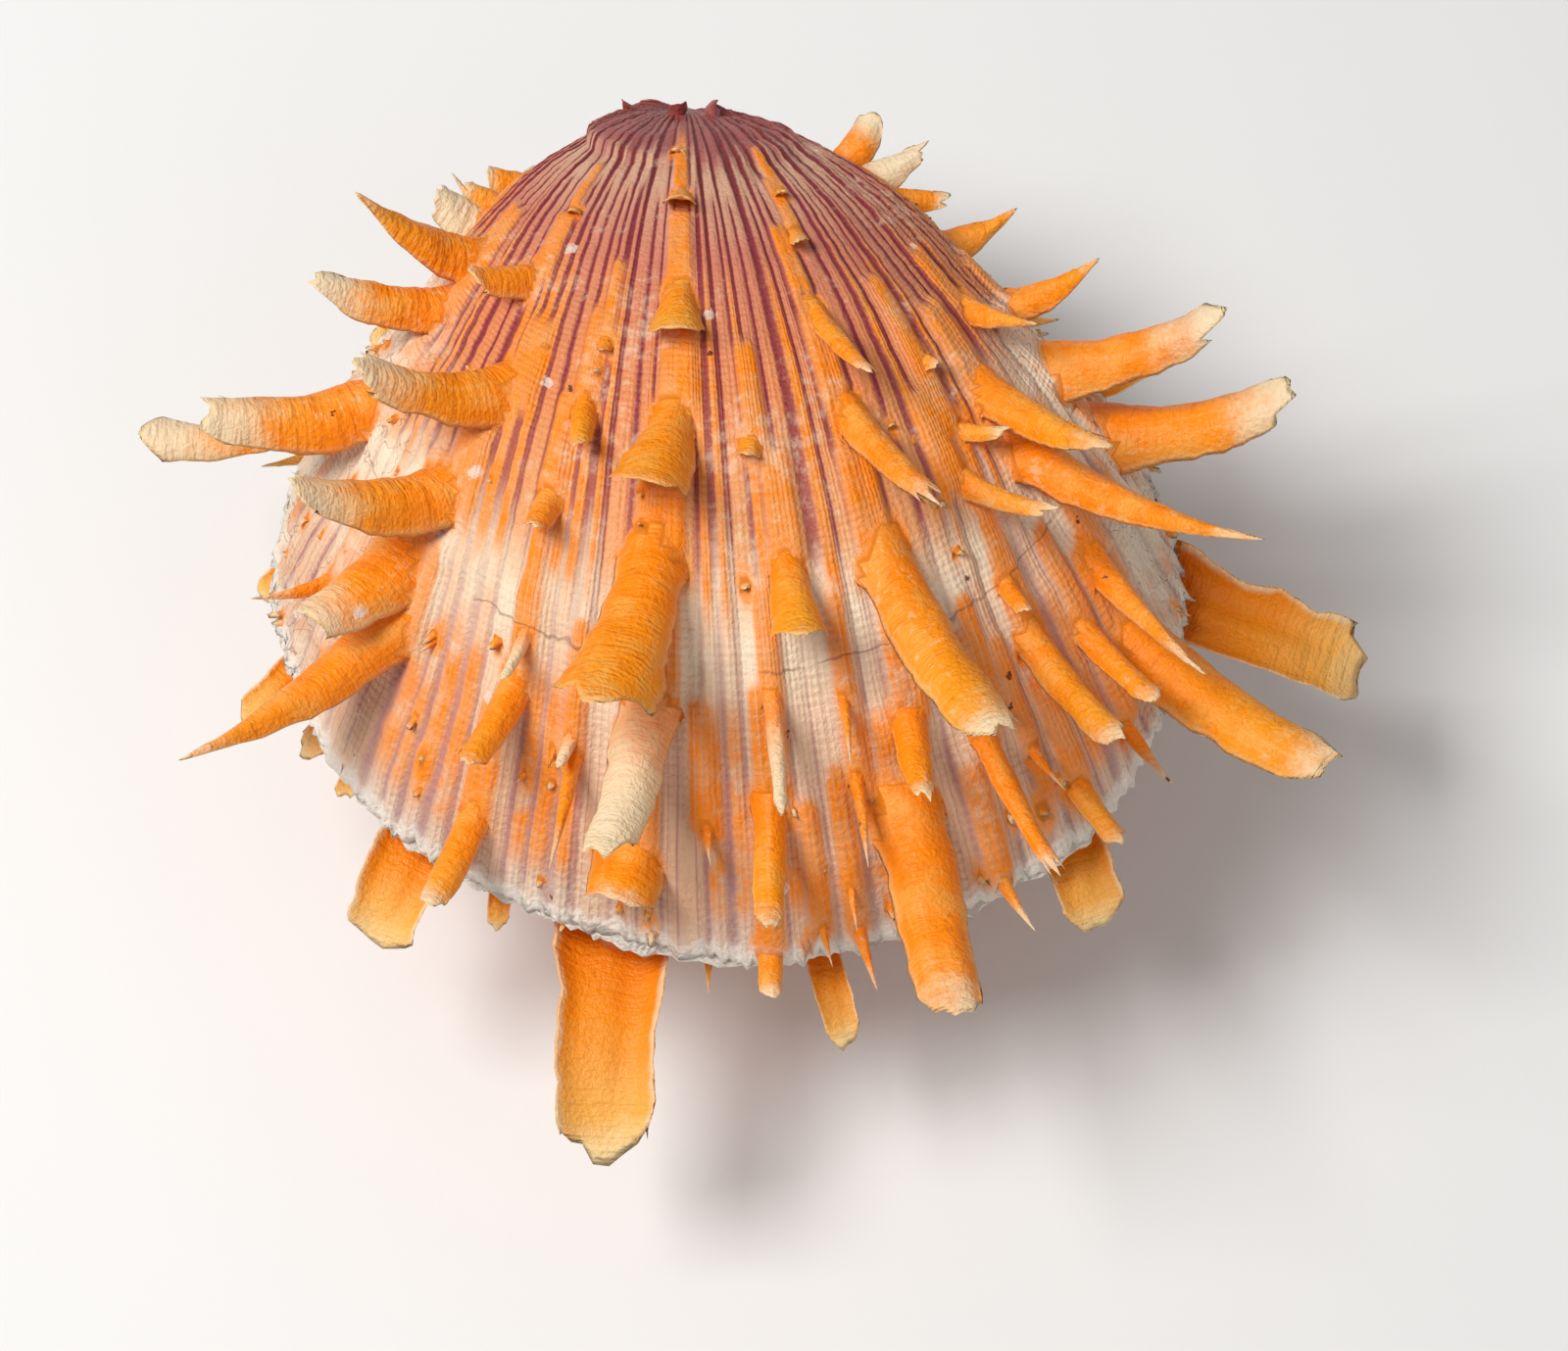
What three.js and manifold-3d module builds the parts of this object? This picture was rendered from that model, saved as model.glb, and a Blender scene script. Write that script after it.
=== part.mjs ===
// Thorny oyster shell with both valves closed. Millimetres, +Z up.
// The origin is the middle of the flat scar under the lower valve, where the animal was cemented to rock.
// The hinge is at the back (+Y) and the gape at the front (-Y). The valves meet in a level plane.
// Each valve is one grown piece, a hollow bowl with its spines, so the shell is two solids.

import * as THREE from 'three';
import { mergeVertices } from 'three/addons/utils/BufferGeometryUtils.js';
import Module from 'manifold-3d';

const wasm = await Module();
wasm.setup();

// Driving dimensions, in millimetres and degrees
const COMMISSURE_Z = 30;            // height of the plane where the valves meet
const HALF_GAP = 0.15;              // half of the clearance between the two rims
const BEAK = new THREE.Vector3(-3.5, 43.3, COMMISSURE_Z);    // where both valves began, on the hinge line
const FLARE = 1.2;                  // how much later the valves widen than they lengthen
const UPPER_CURL = { turn: 58, power: 1.4 };    // degrees turned about the hinge, and how long that lasted
const LOWER_CURL = { turn: 50, power: 1.7 };
const LOWER_UMBO = new THREE.Vector3(0, 0.5, -12);       // the lower valve's first stage, seen from the beak
const CAVITY_CENTRE = BEAK.clone().add(new THREE.Vector3(4, -49, 0));
const UPPER_CAVITY = new THREE.Vector3(0.90, 0.92, 0.86);    // inside as a share of the outside, in X, Y and Z
const LOWER_CAVITY = new THREE.Vector3(0.90, 0.92, 0.84);

// Outline of the margin about the beak, from the left end of the hinge line round the front to the right end
const MARGIN_OUTLINE = [
  [-16, -7], [-19.5, -12.5], [-26.5, -23], [-35.5, -35.5], [-40.5, -48], [-41, -60], [-36.5, -73],
  [-28, -83.5], [-16.5, -91.5], [-4, -96], [10, -97.5], [24, -94.5], [37, -87], [46, -76.5], [51, -63],
  [50.5, -50], [44, -36.5], [33, -24.5], [23, -14], [18.5, -7],
];

const TRIM = 8;                     // how far a bowl runs past the commissure before it is trimmed level
const HIGHEST = 60;                 // above any spine, from the commissure

// Facets of one valve: steps along the margin and steps of growth, outside and inside
const OUTER_STEPS = [34, 11];
const INNER_STEPS = [24, 7];

// Spines
const ROOT_DEPTH = 1.3;             // how deep a spine's root is sunk in the wall
const SPINE_STEPS = 4;
const BLADE_THICKNESS = 1.4;
const FOLD_DEPTH = 0.24;            // depth of a spine's gutter, as a share of its width
const TURN_TO_LEVEL = 0.8;          // how far a spine's broad face turns level towards its tip
const NARROW_SPINE = 3.5;           // spines narrower than this have a plain four-sided section

// Width along a spine as shares of its root width, from root to tip
const SPINE_WIDTHS = {
  point: [1.15, 0.86, 0.62, 0.40, 0.10],
  blade: [1.15, 0.84, 0.80, 0.88, 0.70],
  ragged: [1.15, 0.84, 0.72, 0.60, 0.32],
  stub: [1.15, 0.92, 0.86, 0.80, 0.62],
  horn: [1.8, 1.25, 0.80, 0.45, 0.10],
  flap: [1.6, 1.15, 0.98, 0.92, 0.62],
  spatula: [1.0, 0.78, 0.88, 1.08, 1.05],
  paddle: [1.3, 0.65, 0.50, 0.60, 1.0],
  stick: [1.15, 0.84, 0.72, 0.64, 0.45],
};

// A spine stands higher off the surface the later it grew: so many degrees at the margin, fewer before
const LIFT_AT_MARGIN = 60;

// Spines of the upper valve, about rib by rib: place along the margin 0 to 1, growth stage 0 to 1, length,
// width, sway along the margin in degrees, form, and the degrees that it stands more or less than the rule
const UPPER_SPINES = [
  [0.18, 0.14, 4, 2, -10, 'stub', 20],
  [0.04, 0.74, 6, 5, 5, 'blade'],
  [0.05, 0.86, 7, 3, 0, 'point', 35],
  [0.11, 0.62, 5, 4, 20, 'ragged', 25],
  [0.10, 0.70, 7, 7, 50, 'flap', 20],
  [0.25, 0.54, 17, 8, -15, 'horn', 35],
  [0.25, 0.61, 15, 6, -35, 'flap', 20],
  [0.24, 0.75, 20, 8, -25, 'flap', 10],
  [0.27, 0.89, 10, 3, -20, 'point', 5],
  [0.17, 0.93, 20, 5, 0, 'paddle'],
  [0.33, 0.40, 4, 2, 20, 'stub'],
  [0.33, 0.50, 9, 5, -30, 'stub', 10],
  [0.35, 0.63, 19, 7, -60, 'flap', 20],
  [0.33, 0.74, 19, 7, -55, 'flap', 20],
  [0.31, 0.80, 16, 8, 0, 'flap'],
  [0.32, 0.86, 28, 8, -15, 'horn'],
  [0.41, 0.54, 4, 2, 5, 'stub', -10],
  [0.40, 0.60, 10, 3, 15, 'stub', -10],
  [0.39, 0.69, 8, 3.5, 10, 'stub'],
  [0.39, 0.80, 9, 2, 10, 'stick'],
  [0.39, 0.84, 13, 4, 0, 'stub'],
  [0.42, 0.86, 6, 2, 0, 'stick'],
  [0.42, 0.88, 15, 2.5, 15, 'point'],
  [0.38, 0.94, 14, 4, 10, 'blade'],
  [0.47, 0.24, 5, 2.5, -5, 'stub'],
  [0.47, 0.33, 8, 3, 0, 'stub'],
  [0.47, 0.46, 12, 5, 0, 'stub', -10],
  [0.47, 0.59, 15, 7, -10, 'ragged', -5],
  [0.46, 0.71, 25, 9, -10, 'spatula'],
  [0.46, 0.82, 22, 7, -10, 'blade'],
  [0.45, 0.92, 9, 9, -5, 'blade'],
  [0.48, 0.90, 7, 2, 15, 'point', -5],
  [0.52, 0.62, 5, 3, -15, 'stub', -5],
  [0.53, 0.72, 13, 5, -5, 'stub'],
  [0.515, 0.82, 16, 2.5, -5, 'stick'],
  [0.51, 0.89, 16, 4, -10, 'blade'],
  [0.505, 0.98, 8, 3, -5, 'blade'],
  [0.525, 0.97, 7, 1.5, 5, 'point'],
  [0.54, 0.95, 7, 1.5, -15, 'point'],
  [0.54, 0.98, 9, 2, 0, 'point'],
  [0.55, 0.83, 10, 1.5, -20, 'point'],
  [0.55, 0.89, 11, 2, -20, 'point'],
  [0.61, 0.35, 4, 2, -15, 'stub'],
  [0.60, 0.41, 6, 2.5, -10, 'stub', -5],
  [0.58, 0.49, 18, 3.5, 5, 'ragged', -10],
  [0.58, 0.60, 21, 5, 10, 'ragged', -5],
  [0.58, 0.73, 31, 7.5, 0, 'blade'],
  [0.58, 0.85, 13, 5, -30, 'ragged'],
  [0.57, 0.92, 25, 8, -20, 'blade'],
  [0.65, 0.59, 5, 2.5, 10, 'stub', -5],
  [0.65, 0.67, 7, 3, 45, 'ragged'],
  [0.64, 0.71, 13, 4, 25, 'ragged', 5],
  [0.65, 0.80, 7, 2.5, -30, 'stub', -5],
  [0.65, 0.85, 18, 4.5, -20, 'blade'],
  [0.62, 0.87, 6, 2, -10, 'point'],
  [0.63, 0.91, 8, 2, -10, 'point', -5],
  [0.61, 0.89, 20, 3.5, -15, 'ragged'],
  [0.645, 0.95, 11, 3, -20, 'blade', -5],
  [0.60, 0.98, 9, 2.5, -5, 'point'],
  [0.68, 0.95, 12, 3, -35, 'point', -10],
  [0.68, 0.87, 15, 3.5, -25, 'blade', -5],
  [0.73, 0.60, 12, 4, -10, 'horn'],
  [0.69, 0.65, 22, 6.5, -10, 'ragged'],
  [0.69, 0.73, 32, 7, 0, 'horn', 5],
  [0.71, 0.85, 24, 5, -40, 'point', -10],
  [0.70, 0.91, 28, 8.5, -10, 'blade', -5],
  [0.81, 0.72, 12, 6, -40, 'horn', 20],
  [0.77, 0.75, 20, 7, 0, 'flap', 25],
  [0.78, 0.86, 21, 8, 0, 'flap', 20],
  [0.91, 0.81, 10, 6, -10, 'horn', 15],
  [0.89, 0.60, 8, 5, 10, 'ragged'],
  [0.91, 0.59, 8, 5, 0, 'horn', 25],
  [0.95, 0.65, 7, 5, 5, 'flap', 50],
];

// Spines of the lower valve that stand out past the upper valve's margin
const LOWER_SPINES = [
  [0.22, 0.96, 5, 4, 25, 'stub', -10],
  [0.26, 0.96, 10, 5, 25, 'blade', -10],
  [0.31, 0.96, 5, 3, 30, 'stub', -10],
  [0.35, 0.96, 14, 10, 25, 'blade', -5],
  [0.39, 0.96, 6, 3, 30, 'blade', -10],
  [0.44, 0.96, 25, 13, 20, 'blade'],
  [0.48, 0.96, 6, 2, 10, 'point'],
  [0.525, 0.96, 12, 4.5, 10, 'blade'],
  [0.64, 0.96, 12, 8.5, -30, 'blade', -10],
  [0.75, 0.96, 23, 11, -5, 'blade'],
  [0.85, 0.96, 9, 4, 25, 'blade', 20],
];

// Row of spines lower on the lower valve, by rule: one on each main rib, all about level
const LOW_ROW = {
  first: 0.11, last: 0.89, count: 14, stage: 0.82, stageSwing: 0.035, length: 11, lengthSwing: 3,
  width: 4.5, rise: 4,
};
const LENGTH_WAVE = 2.4;            // radians from one low spine to the next, in the wave of their lengths

const margin = new THREE.SplineCurve(MARGIN_OUTLINE.map(([x, y]) => new THREE.Vector2(x, y)));
const UP = new THREE.Vector3(0, 0, 1);

// A point of a valve's outside. Each growth stage is the margin's outline, scaled and turned about the hinge.
function grow(place, stage, curl, side, umbo) {
  const edge = margin.getPointAt(place);
  const turn = THREE.MathUtils.degToRad(curl.turn) * (1 - stage ** curl.power);
  const reach = edge.y * stage;
  const x = edge.x * stage ** FLARE;
  const point = new THREE.Vector3(x, reach * Math.cos(turn), -side * reach * Math.sin(turn));
  return point.add(BEAK).addScaledVector(umbo, 1 - stage);
}

const upperAt = (place, stage) => grow(place, stage, UPPER_CURL, 1, new THREE.Vector3());
const lowerAt = (place, stage) => grow(place, stage, LOWER_CURL, -1, LOWER_UMBO);

// Closed mesh to solid: vertices at one spot are merged and faces that shrank to a line are dropped
function solid(points, faces) {
  const geometry = new THREE.BufferGeometry();
  const spots = points.flatMap((p) => [p.x, p.y, p.z]);
  geometry.setAttribute('position', new THREE.Float32BufferAttribute(spots, 3));
  geometry.setIndex(faces.flat());
  const merged = mergeVertices(geometry, 1e-4);
  const index = [];
  const source = merged.index.array;
  for (let i = 0; i < source.length; i += 3) {
    const [a, b, c] = [source[i], source[i + 1], source[i + 2]];
    if (a !== b && b !== c && c !== a) index.push(a, b, c);
  }
  const mesh = new wasm.Mesh({
    numProp: 3,
    vertProperties: new Float32Array(merged.attributes.position.array),
    triVerts: new Uint32Array(index),
  });
  const body = new wasm.Manifold(mesh);
  if (body.volume() > 0) return body;
  for (let i = 0; i < index.length; i += 3) [index[i], index[i + 1]] = [index[i + 1], index[i]];
  return new wasm.Manifold(new wasm.Mesh({
    numProp: 3, vertProperties: mesh.vertProperties, triVerts: new Uint32Array(index),
  }));
}

// Solid under a valve's surface, continued past the commissure so that the rim can be trimmed flat
function bowl(pointAt, [marginSteps, growthSteps], past) {
  const points = [];
  const faces = [];
  const at = (i, j) => i * (growthSteps + 1) + j;
  for (let i = 0; i <= marginSteps; i += 1) {
    for (let j = 0; j <= growthSteps; j += 1) {
      points.push(pointAt(i / marginSteps, j / growthSteps));
    }
  }
  for (let i = 0; i < marginSteps; i += 1) {
    for (let j = 0; j < growthSteps; j += 1) {
      faces.push([at(i, j), at(i + 1, j), at(i + 1, j + 1)], [at(i, j), at(i + 1, j + 1), at(i, j + 1)]);
    }
  }
  const edge = [];
  for (let j = growthSteps; j > 0; j -= 1) edge.push(at(0, j));
  for (let j = 0; j < growthSteps; j += 1) edge.push(at(marginSteps, j));
  for (let i = marginSteps; i > 0; i -= 1) edge.push(at(i, growthSteps));
  const lowered = edge.map((k) => {
    points.push(points[k].clone().setZ(COMMISSURE_Z + past));
    return points.length - 1;
  });
  points.push(new THREE.Vector3(CAVITY_CENTRE.x, CAVITY_CENTRE.y, COMMISSURE_Z + past));
  const middle = points.length - 1;
  edge.forEach((a, k) => {
    const next = (k + 1) % edge.length;
    faces.push([a, lowered[next], edge[next]], [a, lowered[k], lowered[next]]);
    faces.push([lowered[k], middle, lowered[next]]);
  });
  return solid(points, faces);
}

function cavity(pointAt, share) {
  return (place, stage) => pointAt(place, stage).sub(CAVITY_CENTRE).multiply(share).add(CAVITY_CENTRE);
}

// Level slab from one height to another, wider than the shell, that trims the valves
function slab(low, high) {
  const reach = 400;
  const box = new THREE.BoxGeometry(reach, reach, high - low).translate(0, 0, (low + high) / 2);
  const spots = box.attributes.position;
  const points = [];
  for (let i = 0; i < spots.count; i += 1) points.push(new THREE.Vector3().fromBufferAttribute(spots, i));
  const faces = [];
  for (let i = 0; i < box.index.count; i += 3) {
    faces.push([box.index.getX(i), box.index.getX(i + 1), box.index.getX(i + 2)]);
  }
  return solid(points, faces);
}

// Directions at a point of a valve: along growth, out of the surface and along the margin
function directionsAt(pointAt, place, stage, side) {
  const step = 0.001;
  const along = pointAt(place, stage).sub(pointAt(place, stage - step)).normalize();
  const across = pointAt(place + step, stage).sub(pointAt(place - step, stage));
  const out = along.clone().cross(across).normalize();
  if (out.z * side < 0) out.negate();
  return { along, out, beside: out.clone().cross(along) };
}

function lifted({ along, out, beside }, lift, sway) {
  const rise = THREE.MathUtils.degToRad(lift);
  const turn = THREE.MathUtils.degToRad(sway);
  return along.clone().multiplyScalar(Math.cos(rise) * Math.cos(turn))
    .addScaledVector(beside, Math.cos(rise) * Math.sin(turn))
    .addScaledVector(out, Math.sin(rise));
}

// Section of a spine at one of its steps: a gutter with its hollow side away from the umbo, or a plain thorn
function gutter(halfWidth, narrow) {
  const fold = FOLD_DEPTH * 2 * halfWidth;
  if (narrow) {
    return [[-halfWidth, -fold], [0, fold], [halfWidth, -fold], [0, -2 * fold]];
  }
  const under = -Math.min(BLADE_THICKNESS, halfWidth);
  return [[-halfWidth, -2 * fold], [-halfWidth * 0.5, 0], [halfWidth * 0.5, 0], [halfWidth, -2 * fold],
    [halfWidth * 0.4, under], [-halfWidth * 0.4, under]];
}

function standing([place, stage, length, width, sway, form, more = 0]) {
  return { place, stage, length, width, sway, form, lift: LIFT_AT_MARGIN * stage + more };
}

// One spine: it leaves the surface low, along the rib, and bends up to its own direction
function spine(pointAt, side, { place, stage, length, width, sway, form, lift }) {
  const frame = directionsAt(pointAt, place, stage, side);
  const swing = sway * side;
  const root = pointAt(place, stage).addScaledVector(frame.out, -ROOT_DEPTH);
  const tip = pointAt(place, stage).addScaledVector(lifted(frame, lift, swing), length);
  const bend = pointAt(place, stage).addScaledVector(lifted(frame, lift * 0.45, swing * 0.4), length * 0.45);
  const path = new THREE.QuadraticBezierCurve3(root, bend, tip);
  const points = [];
  let sides = 0;
  for (let k = 0; k <= SPINE_STEPS; k += 1) {
    const t = k / SPINE_STEPS;
    const centre = path.getPoint(t);
    const ahead = path.getTangent(t);
    const level = UP.clone().cross(ahead).multiplyScalar(side);
    const broad = frame.beside.clone().lerp(level, TURN_TO_LEVEL * t);
    broad.addScaledVector(ahead, -broad.dot(ahead)).normalize();
    const back = ahead.clone().cross(broad);
    const section = gutter(width * SPINE_WIDTHS[form][k] / 2, width < NARROW_SPINE);
    sides = section.length;
    for (const [across, high] of section) {
      points.push(centre.clone().addScaledVector(broad, across).addScaledVector(back, high));
    }
  }
  const faces = [];
  for (let k = 0; k < SPINE_STEPS; k += 1) {
    for (let i = 0; i < sides; i += 1) {
      const [a, b] = [k * sides + i, k * sides + (i + 1) % sides];
      faces.push([a, b, b + sides], [a, b + sides, a + sides]);
    }
  }
  const last = SPINE_STEPS * sides;
  const cap = sides === 4 ? [[0, 1, 3], [1, 2, 3]] : [[0, 1, 5], [1, 2, 4], [1, 4, 5], [2, 3, 4]];
  for (const [a, b, c] of cap) faces.push([a, c, b], [last + a, last + b, last + c]);
  return solid(points, faces);
}

function lowRow() {
  const { first, last, count, stage, stageSwing, length, lengthSwing, width, rise } = LOW_ROW;
  return Array.from({ length: count }, (_, k) => {
    const place = first + (last - first) * k / (count - 1);
    const here = stage + (k % 2 ? stageSwing : -stageSwing);
    const { along } = directionsAt(lowerAt, place, here, -1);
    const slope = THREE.MathUtils.radToDeg(Math.asin(along.z));
    return {
      place, stage: here, length: length + lengthSwing * Math.sin(LENGTH_WAVE * k), width,
      sway: 0, form: k % 3 ? 'point' : 'blade', lift: slope - rise,
    };
  });
}

// A valve: the outside with its spines, hollowed and trimmed level, with no sliver of space left in the wall
function valve(outside, spines, inside, trim) {
  const whole = spines.reduce((all, body) => all.add(body), outside).subtract(inside).intersect(trim);
  return whole.decompose().reduce((a, b) => (a.volume() > b.volume() ? a : b));
}

function mesh(name, body, colour, roughness) {
  const { vertProperties, triVerts } = body.getMesh();
  const geometry = new THREE.BufferGeometry();
  geometry.setAttribute('position', new THREE.BufferAttribute(new Float32Array(vertProperties), 3));
  geometry.setIndex(new THREE.BufferAttribute(new Uint32Array(triVerts), 1));
  geometry.computeVertexNormals();
  const material = new THREE.MeshStandardMaterial({ color: colour, roughness, metalness: 0 });
  const result = new THREE.Mesh(geometry, material);
  result.name = name;
  return result;
}

function upperValve() {
  const outside = bowl(upperAt, OUTER_STEPS, -TRIM);
  const inside = bowl(cavity(upperAt, UPPER_CAVITY), INNER_STEPS, -TRIM);
  const spines = UPPER_SPINES.map((row) => spine(upperAt, 1, standing(row)));
  const body = valve(outside, spines, inside, slab(COMMISSURE_Z + HALF_GAP, COMMISSURE_Z + HIGHEST));
  return mesh('upper_valve', body, 0xd98a4a, 0.62);
}

function lowerValve() {
  const outside = bowl(lowerAt, OUTER_STEPS, TRIM);
  const inside = bowl(cavity(lowerAt, LOWER_CAVITY), INNER_STEPS, TRIM);
  const spines = [...LOWER_SPINES.map(standing), ...lowRow()].map((row) => spine(lowerAt, -1, row));
  const body = valve(outside, spines, inside, slab(0, COMMISSURE_Z - HALF_GAP));
  return mesh('lower_valve', body, 0xe0761c, 0.62);
}

const shell = new THREE.Group();
shell.add(upperValve(), lowerValve());

export default shell;
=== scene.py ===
# The camera looks down at the gape from the front, so that the ribs run towards it from the umbo at the back.
# Sizes in this file are millimetres and degrees, and the finished meshes are metres.
import math

import bpy
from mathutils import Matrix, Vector


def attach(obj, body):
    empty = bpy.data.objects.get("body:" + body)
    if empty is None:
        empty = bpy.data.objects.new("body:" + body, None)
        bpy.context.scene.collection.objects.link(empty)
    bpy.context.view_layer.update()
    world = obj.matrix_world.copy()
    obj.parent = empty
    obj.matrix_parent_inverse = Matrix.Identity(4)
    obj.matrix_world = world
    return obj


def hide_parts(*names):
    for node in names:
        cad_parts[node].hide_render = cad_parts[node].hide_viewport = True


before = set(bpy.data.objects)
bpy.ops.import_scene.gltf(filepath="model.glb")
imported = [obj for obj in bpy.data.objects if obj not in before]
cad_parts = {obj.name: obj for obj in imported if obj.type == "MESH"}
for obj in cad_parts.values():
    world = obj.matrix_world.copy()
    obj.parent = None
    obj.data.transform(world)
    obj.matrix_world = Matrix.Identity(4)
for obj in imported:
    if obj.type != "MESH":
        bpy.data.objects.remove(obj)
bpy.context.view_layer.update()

MM = 0.001
TARGET = Vector((7.0, -22.7, 28.0)) * MM
DISTANCE = 520 * MM
ELEVATION = math.radians(65)
FOCAL_LENGTH = 117
SENSOR_WIDTH = 36
lens = bpy.data.cameras.new("camera")
lens.lens = FOCAL_LENGTH
lens.sensor_width = SENSOR_WIDTH
lens.clip_start = 0.01
camera = bpy.data.objects.new("camera", lens)
camera.location = TARGET + DISTANCE * Vector((0, -math.cos(ELEVATION), math.sin(ELEVATION)))
camera.rotation_euler = (math.pi / 2 - ELEVATION, 0, 0)
bpy.context.collection.objects.link(camera)
bpy.context.scene.camera = camera


# The lower valve is the right one, cemented to rock by a flat scar while the animal lived. It is one piece of
# calcite, grown along its margin from the umbo. Each stage is the margin's outline, scaled and turned about
# the hinge line, and the spines are gutters that the margin folded outwards and left behind.
COMMISSURE = 30.0                   # height of the plane where the valves meet
HALF_GAP = 0.15                     # half of the clearance between the two rims
BEAK = (-3.5, 43.3, COMMISSURE)     # where both valves began, on the hinge line
FLARE = 1.2                         # how much later the valves widen than they lengthen
CAVITY_CENTRE = (0.5, -5.7, COMMISSURE)
HIGHEST = 100.0                     # above any spine, from the commissure
WIDEST = 400.0                      # wider than the whole shell
HOLLOW_PAST = 8                     # how far the hollow runs past the commissure

# Outline of the margin about the beak, from the left end of the hinge line round the front to the right end
MARGIN_OUTLINE = [
    (-16, -7), (-19.5, -12.5), (-26.5, -23), (-35.5, -35.5), (-40.5, -48), (-41, -60), (-36.5, -73),
    (-28, -83.5), (-16.5, -91.5), (-4, -96), (10, -97.5), (24, -94.5), (37, -87), (46, -76.5), (51, -63),
    (50.5, -50), (44, -36.5), (33, -24.5), (23, -14), (18.5, -7),
]
MARGIN_LENGTH = 254.0
HINGE_TO_MARGIN = 97.0
RIBLETS = 84                        # fine ridges from one end of the margin to the other

# Relief of the wall
RIB_HALF_WIDTH = 2.0                # the rib that leads up to each spine: how far it slopes to either side
RIB_LENGTH = 7.0                    # how far it runs, from a little behind the spine
RIB_WIDTH = 0.40                    # its flat top, as a share of the spine's width
RIB_HEIGHT = 1.5
ROLLS = 2.2                         # height of the broad swells of the wall
ROUGHNESS = 0.6                     # height of its small unevenness
PAUSE_STEP = 0.3                    # step down and slope back up where growth paused, at stage 0.8
LAMELLAE = 34                       # growth lines from the umbo to the margin
LAMELLA_HEIGHT = 0.22
SERRATION = 1.4                     # how far the margin is toothed

# Spines
ROOT_DEPTH = 1.2                    # how deep a spine's root is sunk in the wall
THICKEST = 1.2                      # the most that a spine's wall measures


def combine(operation, *values):
    """Adds a Math node, or a Vector Math node if any value is a vector, and returns its result."""
    net = next(v.net for v in values if isinstance(v, Wire))
    vectors = any(isinstance(v, tuple) or isinstance(v, Wire) and v.socket.type == "VECTOR" for v in values)
    if vectors:
        values = [v if isinstance(v, (Wire, tuple)) else (v, v, v) for v in values]
    kind = "ShaderNodeVectorMath" if vectors else "ShaderNodeMath"
    out = "Value" if vectors and operation in ("DOT_PRODUCT", "LENGTH", "DISTANCE") else 0
    return net.node(kind, {"operation": operation}, dict(enumerate(values)), out)


class Wire:
    """A node's socket, with arithmetic that adds the nodes for it."""

    def __init__(self, net, socket):
        self.net = net
        self.socket = socket

    def __add__(self, other):
        return combine("ADD", self, other)

    def __radd__(self, other):
        return combine("ADD", other, self)

    def __sub__(self, other):
        return combine("SUBTRACT", self, other)

    def __rsub__(self, other):
        return combine("SUBTRACT", other, self)

    def __mul__(self, other):
        return combine("MULTIPLY", self, other)

    def __rmul__(self, other):
        return combine("MULTIPLY", other, self)

    def __truediv__(self, other):
        return combine("DIVIDE", self, other)

    def __pow__(self, other):
        return combine("POWER", self, other)

    def __abs__(self):
        return combine("ABSOLUTE", self)

    def min(self, other):
        return combine("MINIMUM", self, other)

    def max(self, other):
        return combine("MAXIMUM", self, other)

    def over(self, other):
        return combine("GREATER_THAN", self, other)

    def arcsin(self):
        return combine("ARCSINE", self)

    def sin(self):
        return combine("SINE", self)

    def cos(self):
        return combine("COSINE", self)

    def floor(self):
        return combine("FLOOR", self)

    def fract(self):
        return combine("FRACT", self)

    def dot(self, other):
        return combine("DOT_PRODUCT", self, other)

    def cross(self, other):
        return combine("CROSS_PRODUCT", self, other)

    def unit(self):
        return combine("NORMALIZE", self)

    def rise(self, low, high):
        """0 below low, 1 above high, smooth between."""
        return self.net.node("ShaderNodeMapRange", {"interpolation_type": "SMOOTHSTEP"},
                             {0: self, 1: low, 2: high, 3: 0.0, 4: 1.0})

    def hump(self, centre, half_width):
        """1 at centre, falling to 0 at half_width to either side."""
        return 1 - abs(self - centre).rise(0.0, half_width)

    def parts(self):
        split = self.net.node("ShaderNodeSeparateXYZ", {}, {0: self})
        return [Wire(self.net, output) for output in split.socket.node.outputs]


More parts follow.
